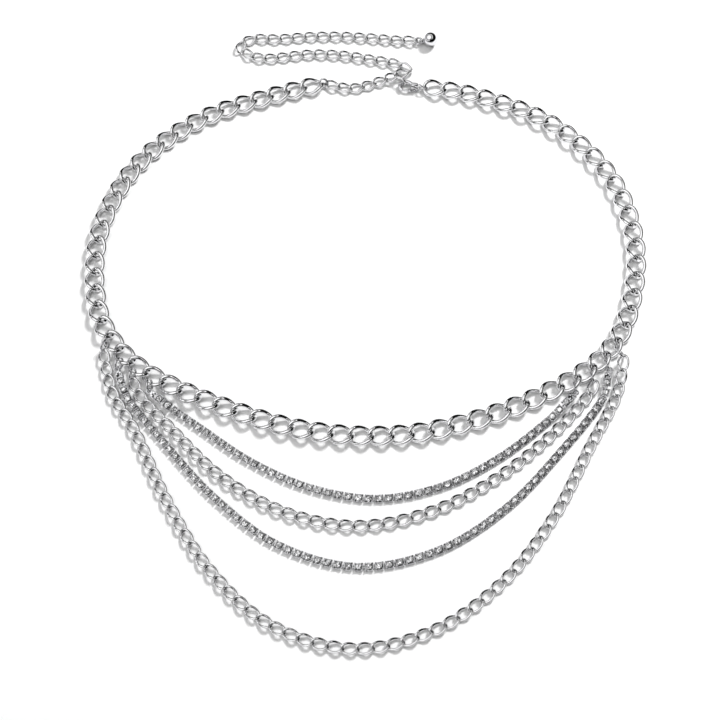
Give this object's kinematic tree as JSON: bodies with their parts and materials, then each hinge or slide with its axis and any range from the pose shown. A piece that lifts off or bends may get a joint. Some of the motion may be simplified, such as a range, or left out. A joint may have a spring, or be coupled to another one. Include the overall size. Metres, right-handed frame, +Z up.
{
  "type": "layered body chain",
  "caption": "Layered waist chain: a chunky curb chain with draped curb and crystal cup strands hung from jump rings, a lobster clasp with a sprung lever and a curb extender ending in a ball.",
  "frame": {"origin": "middle of the bounding box, on the surface that it lies on", "axes": "+Z up from the surface, +Y from the hanging strands to the clasp, +X to the side on which the clasp lies"},
  "size_m": [0.2648, 0.3193, 0.0072],
  "materials": {
    "polished_silver": "polished silver-tone metal with fine wear marks",
    "fine_silver": "polished silver-tone metal, small links",
    "bright_silver": "bright silver-tone findings",
    "crystal_cups": "clear foiled crystals in silver-tone cups"
  },
  "bodies": {
    "chain": {"main_chain": "polished_silver", "strand_a": "crystal_cups", "strand_b": "fine_silver", "strand_c": "crystal_cups", "strand_d": "fine_silver", "extender": "fine_silver", "ring_left_a": "bright_silver", "ring_left_b": "bright_silver", "ring_left_c": "bright_silver", "ring_left_d": "bright_silver", "ring_right_a": "bright_silver", "ring_right_b": "bright_silver", "ring_right_c": "bright_silver", "ring_right_d": "bright_silver", "ring_extender": "bright_silver", "ring_clasp": "bright_silver", "ring_ball": "bright_silver", "connector_left_a": "bright_silver", "connector_right_a": "bright_silver", "connector_left_c": "bright_silver", "connector_right_c": "bright_silver", "clasp_body": "bright_silver", "end_ball": "bright_silver"},
    "lever": {"clasp_lever": "bright_silver"}
  },
  "joints": [
    {"name": "lever_hinge", "type": "hinge", "parent": "chain", "child": "lever", "pos_m": [0.02469, 0.12482, 0.00165], "axis": [0, 0, -1], "range_deg": [0, 20], "stiffness_Nm_per_rad": 0.004, "springref_deg": -11.46}
  ]
}
